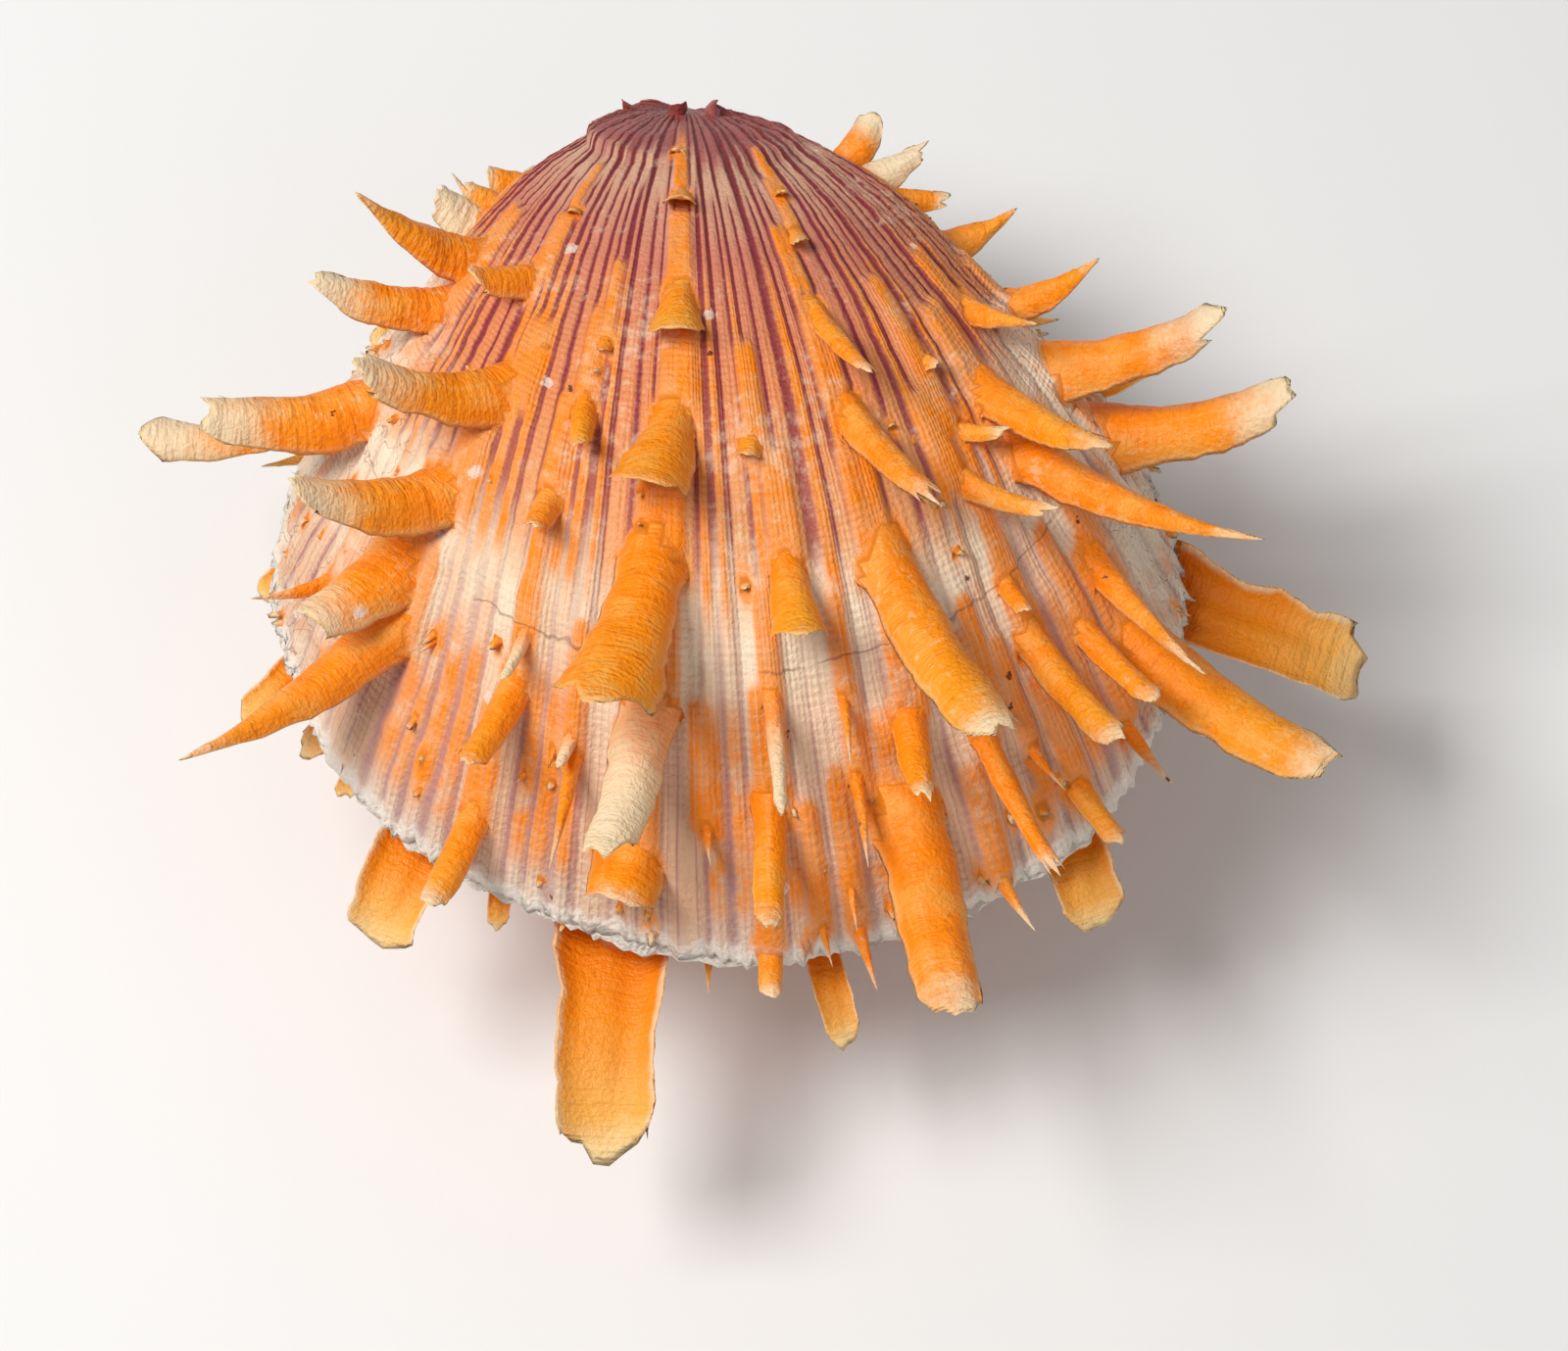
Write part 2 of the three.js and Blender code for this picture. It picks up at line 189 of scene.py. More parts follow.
class Net:
    """A node tree that is written as Python."""

    def __init__(self, tree):
        self.tree = tree

    def node(self, kind, settings, feeds, out=0):
        """Adds a node: its settings first, then the values or wires of its sockets. Returns one output."""
        made = self.tree.nodes.new(kind)
        for name, value in settings.items():
            if name == "stops":
                self.set_stops(made.color_ramp, value)
            else:
                setattr(made, name, value)
        for key, value in feeds.items():
            socket = self.pick(made.inputs, key)
            for feed in value if isinstance(value, list) else [value]:
                if isinstance(feed, Wire):
                    self.tree.links.new(feed.socket, socket)
                else:
                    socket.default_value = feed
        return Wire(self, self.pick(made.outputs, out)) if made.outputs else None

    @staticmethod
    def pick(sockets, key):
        if isinstance(key, int):
            return sockets[key]
        return next(socket for socket in sockets if socket.name == key and socket.enabled)

    @staticmethod
    def set_stops(ramp, stops):
        while len(ramp.elements) < len(stops):
            ramp.elements.new(1.0)
        for element, (place, colour) in zip(ramp.elements, stops):
            element.position = place
            element.color = colour

    def vector(self, x, y, z):
        return self.node("ShaderNodeCombineXYZ", {}, {0: x, 1: y, 2: z})

    def riblet(self, phase):
        """The round back of a riblet: 1 along its middle, 0 in the grooves beside it."""
        middle = abs(phase.fract() * 2 - 1)
        return (1 - middle * middle) ** 0.6

    def between(self, share, first, second):
        """Number or vector between first and second."""
        return first + (second - first) * share

    def noise(self, where, scale, detail=2.0, roughness=0.5):
        """Smooth noise, most of it from -0.7 to 0.7."""
        lump = self.node("ShaderNodeTexNoise", {"noise_dimensions": "3D"},
                         {"Vector": where, "Scale": scale, "Detail": detail, "Roughness": roughness})
        return lump * 2 - 1

    def chance(self, number):
        """The same random number from 0 to 1 for the same input."""
        return self.node("ShaderNodeTexWhiteNoise", {"noise_dimensions": "1D"}, {"W": number})


class Growth(Net):
    """A Geometry Nodes tree with named inputs, which reads and writes numbers on the points."""

    def __init__(self, name):
        super().__init__(bpy.data.node_groups.new(name, "GeometryNodeTree"))
        self.tree.interface.new_socket("Valve", in_out="OUTPUT", socket_type="NodeSocketGeometry")
        self.entry = self.tree.nodes.new("NodeGroupInput")
        self.names = {}

    def ask(self, name, kind, value=None):
        socket = self.tree.interface.new_socket(name, in_out="INPUT", socket_type="NodeSocket" + kind)
        if value is not None:
            socket.default_value = value
        self.names[name] = socket.identifier
        return Wire(self, next(s for s in self.entry.outputs if s.identifier == socket.identifier))

    def read(self, name, kind="FLOAT"):
        return self.node("GeometryNodeInputNamedAttribute", {"data_type": kind}, {"Name": name}, "Attribute")

    def write(self, geometry, numbers, kind="FLOAT", where=True):
        for name, value in numbers.items():
            geometry = self.node("GeometryNodeStoreNamedAttribute", {"data_type": kind, "domain": "POINT"},
                                 {"Geometry": geometry, "Selection": where, "Name": name, "Value": value})
        return geometry

    def move(self, geometry, place, where=True):
        return self.node("GeometryNodeSetPosition", {},
                         {"Geometry": geometry, "Selection": where, "Position": place})

    def sheet(self, across, along):
        """A flat sheet whose points know how far across and along it they are, from 0 to 1."""
        flat = self.node("GeometryNodeMeshGrid", {},
                         {"Size X": 1.0, "Size Y": 1.0, "Vertices X": across, "Vertices Y": along})
        x, y, _ = self.node("GeometryNodeInputPosition", {}, {}).parts()
        return self.write(flat, {"across": x + 0.5, "along": y + 0.5})

    def on_points(self, points, thing, scale=(1.0, 1.0, 1.0)):
        """A copy of thing for each point, which keeps the point's numbers."""
        copies = self.node("GeometryNodeInstanceOnPoints", {},
                           {"Points": points, "Instance": thing, "Scale": scale})
        return self.node("GeometryNodeRealizeInstances", {}, {"Geometry": copies})

    def solids(self, operation, *bodies):
        """Joins or cuts closed bodies. A cut takes the second from the first."""
        feeds = dict(enumerate(bodies)) if operation == "DIFFERENCE" else {1: list(bodies)}
        return self.node("GeometryNodeMeshBoolean", {"operation": operation, "solver": "MANIFOLD"}, feeds)


# Numbers that the growth leaves on the shell for its finish. Place and stage say where on the valve a point
# grew, phase counts the riblets, and rib is 1 on a rib that leads up to a spine. T, x and inside say where on
# its spine a point is. Tone, own and length are its spine's: how far it pales, its random seed and its size.
LEFT_ON_SHELL = (
    "place", "stage", "hinge", "phase", "rib", "spine", "t", "x", "inside", "tone", "own", "length")


def valve_tree():
    """Grows a valve: its ribbed wall, its spines and prickles and its hollow, joined into one closed skin."""
    net = Growth("grow a valve")
    outline = net.ask("Margin outline", "Geometry")
    spine_rows = net.ask("Spines", "Object")
    side = net.ask("Side", "Float", 1.0)
    turn_all = net.ask("Turn", "Float", 1.0)
    power = net.ask("Turn power", "Float", 1.5)
    umbo = net.ask("Umbo shift", "Vector")
    share = net.ask("Hollow share", "Vector", (0.9, 0.92, 0.86))
    columns = net.ask("Columns", "Int", 421)
    rows = net.ask("Rows", "Int", 115)
    rib_height = net.ask("Riblet height", "Float", 0.2)
    prickle_count = net.ask("Prickles", "Int", 150)
    seed = net.ask("Seed", "Float", 0.0)
    skin = net.ask("Shell", "Material")
    level = COMMISSURE + side * HALF_GAP

    margin = net.node("GeometryNodeMeshToCurve", {}, {"Mesh": outline})
    margin = net.node("GeometryNodeCurveSplineType", {"spline_type": "CATMULL_ROM"}, {"Curve": margin})
    margin = net.node("GeometryNodeSetSplineResolution", {}, {"Geometry": margin, "Resolution": 24})

    def grown(place, stage):
        """A point of the outside at a place along the margin and a stage of growth."""
        edge = net.node("GeometryNodeSampleCurve", {"mode": "FACTOR"},
                        {"Curves": margin, "Factor": place}, "Position")
        x, y, _ = edge.parts()
        stage = stage.max(0.0)
        turn = turn_all * (1 - stage ** power)
        reach = y * stage
        ahead = net.vector(x * stage ** FLARE, reach * turn.cos(), reach * turn.sin() * side * -1)
        return ahead + BEAK + umbo * (1 - stage)

    def directions(place, stage):
        """The point, along growth, out of the wall, and beside both."""
        step = 0.002
        here = grown(place, stage)
        along = (here - grown(place, stage - step)).unit()
        across = grown(place + step, stage) - grown(place - step, stage)
        out = along.cross(across).unit() * side
        return here, along, out, out.cross(along)

    def closed(bowl, low, middle):
        """Closes a bowl: its open edge runs to a level plane, and from there to the middle. Both runs are
        marked, so that the flat face of the hinge can show its growth layers."""
        for goes_level in (True, False):
            faces = net.node("GeometryNodeInputMeshEdgeNeighbors", {}, {})
            open_edge = net.node("FunctionNodeCompare", {"data_type": "INT", "operation": "EQUAL"},
                                 {2: faces, 3: 1})
            bowl = net.node("GeometryNodeExtrudeMesh", {"mode": "EDGES"},
                            {"Mesh": bowl, "Selection": open_edge, "Offset Scale": 0.0})
            top = Wire(net, bowl.socket.node.outputs["Top"])
            x, y, _ = net.node("GeometryNodeInputPosition", {}, {}).parts()
            bowl = net.move(bowl, net.vector(x, y, low) if goes_level else middle, top)
            bowl = net.write(bowl, {"hinge": 1.0}, where=top)
        bowl = net.node("GeometryNodeMergeByDistance", {}, {"Geometry": bowl, "Distance": 0.0005})
        upper = net.node("FunctionNodeCompare", {"operation": "GREATER_THAN"}, {0: side, 1: 0.0})
        return net.node("GeometryNodeFlipFaces", {}, {"Mesh": bowl, "Selection": upper})

    # The ribs that lead up to the spines, as strips in the plane of place and stage
    table = net.node("GeometryNodeObjectInfo", {}, {"Object": spine_rows}, "Geometry")
    strip = net.node("GeometryNodeMeshGrid", {},
                     {"Size X": 1.0, "Size Y": 1.0, "Vertices X": 2, "Vertices Y": 2})
    strip = net.node("GeometryNodeTransform", {}, {"Geometry": strip, "Translation": (0.0, -0.38, 0.0)})
    spread = net.vector(net.read("place") * MARGIN_LENGTH, net.read("stage") * HINGE_TO_MARGIN, 0.0)
    strip_size = net.vector(net.read("width") * RIB_WIDTH / net.read("stage"), RIB_LENGTH, 1.0)
    strips = net.on_points(net.move(table, spread), strip, strip_size)

    # The ribbed wall. Its riblets wander and differ in height, and the young shell has half as many. Under
    # them are broad swells and small unevenness, and over them a step where growth paused, and growth lines.
    flat = net.sheet(columns, rows)
    across = net.read("across")
    stage = net.read("along")
    phase = across * RIBLETS + net.noise(net.vector(across * 20, seed, 7.0), 1.0) * 1.8
    wander = net.noise(net.vector(phase * 0.31, stage * 1.5, seed), 1.0)
    place = across + wander * across * (1 - across) * 0.012
    index = phase.floor()
    ridge = net.between(stage.rise(0.30, 0.40), net.riblet(phase * 0.5), net.riblet(phase))
    here, along, out, _ = directions(place, stage)
    near = net.node("GeometryNodeProximity", {"target_element": "FACES"}, {
        "Geometry": strips,
        "Sample Position": net.vector(place * MARGIN_LENGTH, stage * HINGE_TO_MARGIN, 0.0)}, "Distance")
    rib = 1 - near.rise(0.0, RIB_HALF_WIDTH)
    pitch = (stage + 0.12) * (MARGIN_LENGTH / RIBLETS)
    height = ridge * pitch * rib_height * (0.5 + net.chance(index + seed) * 0.8) * (1 - rib * 0.8)
    height = height + rib * stage * RIB_HEIGHT
    height = height + net.noise(here + seed, 0.045, 1.0) * stage * ROLLS
    uneven = stage * ROUGHNESS + (1 - stage.rise(0.2, 0.4)) * 0.5
    height = height + net.noise(here + seed, 0.32, 4.0, 0.6) * uneven
    young_swell = (1 - stage.rise(0.29, 0.31)) * stage.rise(0.05, 0.29)
    height = height + young_swell * (1.1 - place.rise(0.25, 0.5) * 0.8)
    height = height - stage.rise(0.795, 0.805) * PAUSE_STEP + stage.rise(0.82, 1.0) * PAUSE_STEP
    lamella = (stage * LAMELLAE + net.noise(net.vector(place * 9, stage * 3, seed), 1.0) * 1.2).fract()
    height = height + lamella ** 3 * LAMELLA_HEIGHT * stage
    notch = abs((phase * 2).fract() * 2 - 1)
    notch = notch + net.noise(net.vector(phase * 1.3, seed, 3.0), 1.0, 2.0) * 1.5
    serration = (notch - 0.5) * stage.rise(0.95, 1.0) * SERRATION
    x, y, z = (here + out * height * stage.rise(0.0, 0.12) + along * serration).parts()
    z = (((z - level) * side).max(0.0) * side + level).max(0.0)
    wall = net.move(flat, net.vector(x, y, z))
    wall = net.write(wall, {"place": place, "stage": stage, "phase": phase, "rib": rib, "known": 1.0})
    wall = closed(wall, level, net.vector(CAVITY_CENTRE[0], CAVITY_CENTRE[1], level))

    # The hollow
    deep = COMMISSURE - side * HOLLOW_PAST
    flat = net.sheet(49, 15)
    inner = (grown(net.read("across"), net.read("along")) - CAVITY_CENTRE) * share + CAVITY_CENTRE
    hollow = closed(net.move(flat, inner), deep, net.vector(CAVITY_CENTRE[0], CAVITY_CENTRE[1], deep))

    def spines(points, around, steps):
        """Gutters that leave the wall low along a rib and bend up, their hollow side away from the umbo."""
        # Each is a sheet rolled round its path: angle goes round it, and t from its root to its ragged end
        skins = net.on_points(net.move(points, (0.0, 0.0, 0.0)), net.sheet(around, steps))
        angle = net.read("across") * (2 * math.pi)
        step = net.read("along")
        open_end = (1 - step ** 10) ** 0.5 * step.rise(0.0, 0.02)
        place, stage, length, width = (net.read(name) for name in ("place", "stage", "length", "width"))
        lift, sway, waist, end, own = (net.read(name) for name in ("lift", "sway", "waist", "end", "own"))
        ragged, root_share, fold = (net.read(name) for name in ("ragged", "root", "fold"))
        here, along, out, beside = directions(place, stage)
        swing = sway * side
        lift = lift + along.parts()[2].arcsin() * net.read("from_level")

        def lifted(rise, turn):
            return (along * turn.cos() + beside * turn.sin()) * rise.cos() + out * rise.sin()

        x = angle.cos()
        under = angle.sin()
        edge = net.noise(net.vector(x * 2.6, own * 7, 0.0), 1.0, 3.0, 0.75) * 1.4
        t = step * (1 - x * x * 0.10 + edge * ragged * step)
        root = grown(place, stage - length / HINGE_TO_MARGIN * 0.30) - out * ROOT_DEPTH
        second = here + lifted(lift * 0.35, swing * 0.4) * length * 0.10 - out * 0.3
        third = here + lifted(lift * 0.88, swing * 0.85) * length * 0.58
        tip = here + lifted(lift, swing) * length
        u = 1 - t
        centre = root * (u * u * u) + second * (u * u * t * 3) + third * (u * t * t * 3) + tip * (t * t * t)
        ahead = (second - root) * (u * u) + (third - second) * (u * t * 2) + (tip - third) * (t * t)
        ahead = ahead.unit()
        level_side = net.vector(0.0, 0.0, 1.0).cross(ahead) * side
        broad = net.between(t.rise(-0.35, 0.45) * 0.9, beside, level_side)
        broad = (broad - ahead * broad.dot(ahead)).unit()
        up = ahead.cross(broad)
        outer_share = net.between(t.rise(0.4, 1.0), waist, end)
        share_of_width = net.between(t.rise(-0.1, 0.45), root_share, outer_share)
        share_of_width = share_of_width * net.between(t.rise(0.02, 0.30), 0.40, 1.0)
        wavy = net.noise(net.vector(t * length * 0.22, x.over(0.0) * 5, own * 3), 1.0, 3.0, 0.6)
        half = width * 0.5 * share_of_width * (1 + wavy * 0.42 * t.rise(0.05, 0.4))
        thick = (width * 0.26).min(THICKEST) * (1 - t * 0.35)
        lump = net.noise(net.vector(x * 1.5, t * length * 0.35, own * 5), 1.0, 3.0, 0.6)
        keel = x.hump(0.1, 0.5) - x.hump(-0.62, 0.18) * 0.5
        keel = keel * t.rise(0.1, 0.4) * (1 - t.rise(0.65, 0.95))
        wall_height = (under - 1) * thick * 0.5
        wall_height = wall_height + lump * 0.9 * under.rise(-0.2, 0.6) * (width / 6).min(1.0)
        wall_height = wall_height - keel * (1 - under.rise(-0.6, 0.0)) * 1.5 * (width / 12).min(1.0)
        high = abs(x) ** 2.6 * half * fold * (1 - t * 0.35) * -1 + wall_height * open_end
        skins = net.move(skins, centre + broad * half * x + up * high)
        skins = net.write(skins, {
            "known": 1.0, "spine": 1.0, "t": t, "x": x, "inside": 1 - under.rise(-0.35, 0.05),
            "here": place + half * x / (stage * MARGIN_LENGTH),
            "stage": stage + (t - 0.2) * length / HINGE_TO_MARGIN})
        skins = net.write(skins, {"place": net.read("here"), "phase": net.read("here") * RIBLETS, "rib": 1.0})
        skins = net.node("GeometryNodeMergeByDistance", {}, {"Geometry": skins, "Distance": 0.002})
        return net.node("GeometryNodeSplitToInstances", {"domain": "FACE"},
                        {"Geometry": skins, "Group ID": net.read("row", "INT")})

    # Prickles: small scales on the riblets, more of them towards the margin
    seeds = net.node("GeometryNodeMeshLine", {"mode": "OFFSET"},
                     {"Count": prickle_count, "Offset": (0.0, 0.0, 1.0)})
    number = net.node("GeometryNodeInputIndex", {}, {}) * 1.0 + seed * 31

    def draw(salt, low, high):
        return net.chance(number + salt) * (high - low) + low

    on_riblet = (draw(0.11, 3.0, RIBLETS - 4.0).floor() + 0.5) / RIBLETS
    late = 1 - draw(0.23, 0.0, 1.0) ** 1.6 * 0.42
    prickles = net.write(seeds, {
        "place": on_riblet, "stage": late * 0.985, "length": draw(0.37, 1.0, 3.4) * late,
        "width": draw(0.41, 0.9, 1.7), "lift": draw(0.53, 0.45, 0.95), "from_level": 0.0,
        "sway": draw(0.61, -0.4, 0.4), "waist": 0.75, "end": draw(0.67, 0.1, 0.6), "ragged": 0.15,
        "own": number * 1.7, "root": 1.5, "fold": 0.8, "tone": draw(0.71, 0.2, 1.0)})
    prickles = net.write(prickles, {"row": net.node("GeometryNodeInputIndex", {}, {})}, "INT")

    # One closed skin, hollowed, and trimmed level at the commissure and at the scar
    whole = net.solids("UNION", wall, spines(table, 19, 27), spines(prickles, 7, 5))
    whole = net.solids("DIFFERENCE", whole, hollow)
    upper = (side + 1) * 0.5
    low = level * upper
    high = level + upper * HIGHEST
    slab = net.node("GeometryNodeMeshCube", {}, {"Size": net.vector(WIDEST, WIDEST, high - low)}, "Mesh")
    slab = net.node("GeometryNodeTransform", {},
                    {"Geometry": slab, "Translation": net.vector(0.0, 0.0, (low + high) * 0.5)})
    whole = net.solids("INTERSECT", whole, slab)
    whole = net.move(whole, net.node("GeometryNodeInputPosition", {}, {}) * MM)
    whole = net.node("GeometryNodeRealizeInstances", {}, {"Geometry": whole})

    # The joins leave no numbers on the points where two skins cross, so those take the nearest point's
    known = net.read("known").over(0.5)
    source = net.node("GeometryNodeSeparateGeometry", {"domain": "POINT"},
                      {"Geometry": whole, "Selection": known})
    nearest = net.node("GeometryNodeSampleNearest", {"domain": "POINT"}, {"Geometry": source})
    for name in LEFT_ON_SHELL:
        value = net.node("GeometryNodeSampleIndex", {"data_type": "FLOAT", "domain": "POINT"},
                         {"Geometry": source, "Value": net.read(name), "Index": nearest})
        whole = net.write(whole, {name: value}, where=1 - known)
    skirt = net.node("GeometryNodeBlurAttribute", {},
                     {"Value": net.read("spine"), "Iterations": 4, "Weight": 1.0})
    whole = net.write(whole, {"joint": skirt})
    whole = net.node("GeometryNodeSetShadeSmooth", {}, {"Geometry": whole})
    whole = net.node("GeometryNodeSetMaterial", {}, {"Geometry": whole, "Material": skin})
    net.tree.links.new(whole.socket, net.tree.nodes.new("NodeGroupOutput").inputs[0])
    return net


growth = valve_tree()
outline_mesh = bpy.data.meshes.new("margin outline")
outline_mesh.from_pydata([(x, y, 0) for x, y in MARGIN_OUTLINE],
                         [(i, i + 1) for i in range(len(MARGIN_OUTLINE) - 1)], [])

# A form of spine: widths at the root, the waist and the end as shares of its width, how ragged its end is,
# and how far it pales towards the end
FORMS = {
    "point": {"root": 1.6, "waist": 0.62, "end": 0.08, "ragged": 0.05, "tone": 0.5},
    "blade": {"root": 1.5, "waist": 0.84, "end": 0.74, "ragged": 0.10, "tone": 0.28},
    "ragged": {"root": 1.6, "waist": 0.75, "end": 0.45, "ragged": 0.22, "tone": 0.3},
    "stub": {"root": 1.4, "waist": 0.88, "end": 0.70, "ragged": 0.16, "tone": 0.2},
    "horn": {"root": 2.2, "waist": 0.72, "end": 0.10, "ragged": 0.04, "tone": 0.25},
    "flap": {"root": 1.9, "waist": 0.95, "end": 0.66, "ragged": 0.16, "tone": 0.5},
    "spatula": {"root": 0.75, "waist": 0.80, "end": 1.2, "ragged": 0.10, "tone": 0.12},
    "fan": {"root": 0.65, "waist": 0.75, "end": 1.2, "ragged": 0.16, "tone": 0.12},
    "paddle": {"root": 1.4, "waist": 0.50, "end": 1.10, "ragged": 0.04, "tone": 0.6},
    "stick": {"root": 1.3, "waist": 0.72, "end": 0.50, "ragged": 0.04, "tone": 1.0},
    "bone": {"root": 1.5, "waist": 0.84, "end": 0.74, "ragged": 0.14, "tone": 1.1},
    "ear": {"root": 1.7, "waist": 0.95, "end": 0.50, "ragged": 0.24, "tone": 1.4},
}

# A spine stands higher off the wall the later it grew: this many degrees at the margin, fewer before
LIFT_AT_MARGIN = 60
FOLD = 0.8                          # depth of a spine's gutter, as a share of half its width


def spine_table(name, rows, level_rows=()):
    """The rows as loose points that hold their numbers."""
    table = []
    for number, (place, stage, length, width, sway, form, *more) in enumerate(rows):
        lift = LIFT_AT_MARGIN * stage + (more[0] if more else 0)
        table.append({
            "place": place, "stage": stage, "length": length, "width": width, "sway": math.radians(sway),
            "lift": math.radians(lift), "from_level": 0.0, "own": number * 1.37, "fold": FOLD, **FORMS[form]})
    table += level_rows
    mesh = bpy.data.meshes.new(name)
    mesh.vertices.add(len(table))
    for key in table[0]:
        column = mesh.attributes.new(key, "FLOAT", "POINT")
        column.data.foreach_set("value", [row[key] for row in table])
    mesh.attributes.new("row", "INT", "POINT").data.foreach_set("value", range(len(table)))
    return bpy.data.objects.new(name, mesh)


def grow_valve(name, inputs):
    """Runs the tree and keeps its result as a plain mesh."""
    seedling = bpy.data.objects.new(name + "_margin", outline_mesh)
    bpy.context.collection.objects.link(seedling)
    modifier = seedling.modifiers.new("growth", "NODES")
    modifier.node_group = growth.tree
    for key, value in inputs.items():
        modifier[growth.names[key]] = value
    graph = bpy.context.evaluated_depsgraph_get()
    mesh = bpy.data.meshes.new_from_object(seedling.evaluated_get(graph))
    bpy.data.objects.remove(seedling)
    mesh.name = name
    piece = bpy.data.objects.new(name, mesh)
    bpy.context.collection.objects.link(piece)
    return piece


THREADS = 4                         # fine threads on each riblet
BEAD_PITCH = 0.62


def paint(code):
    """A colour from its six hexadecimal digits."""
    parts = [int(code[i:i + 2], 16) / 255 for i in (0, 2, 4)]
    return tuple(c / 12.92 if c < 0.04045 else ((c + 0.055) / 1.055) ** 2.4 for c in parts) + (1.0,)


class Finish(Net):
    """A material's node tree, which reads the numbers that the growth left on the shell."""

    def __init__(self, name):
        self.material = bpy.data.materials.new(name)
        self.material.use_nodes = True
        self.material.node_tree.nodes.clear()
        super().__init__(self.material.node_tree)

    def number(self, name):
        return self.node("ShaderNodeAttribute", {"attribute_name": name}, {}, "Fac")

    def tint(self, share, first, second):
        """A colour between first and second."""
        return self.node("ShaderNodeMix", {"data_type": "RGBA"}, {0: share, 6: first, 7: second}, 2)

    def scale(self, value, stops):
        """A colour that goes through the stops, which are given as a share and a colour code."""
        painted = [(share, paint(code)) for share, code in stops]
        return self.node("ShaderNodeValToRGB", {"stops": painted}, {0: value})

    def cells(self, where, scale):
        """How far it is to the nearest of many scattered points, and that point's own chance from 0 to 1."""
        cell = self.node("ShaderNodeTexVoronoi", {}, {"Vector": where, "Scale": scale})
        return cell, self.chance(Wire(self, cell.socket.node.outputs["Position"]).parts()[0] * 37.7)


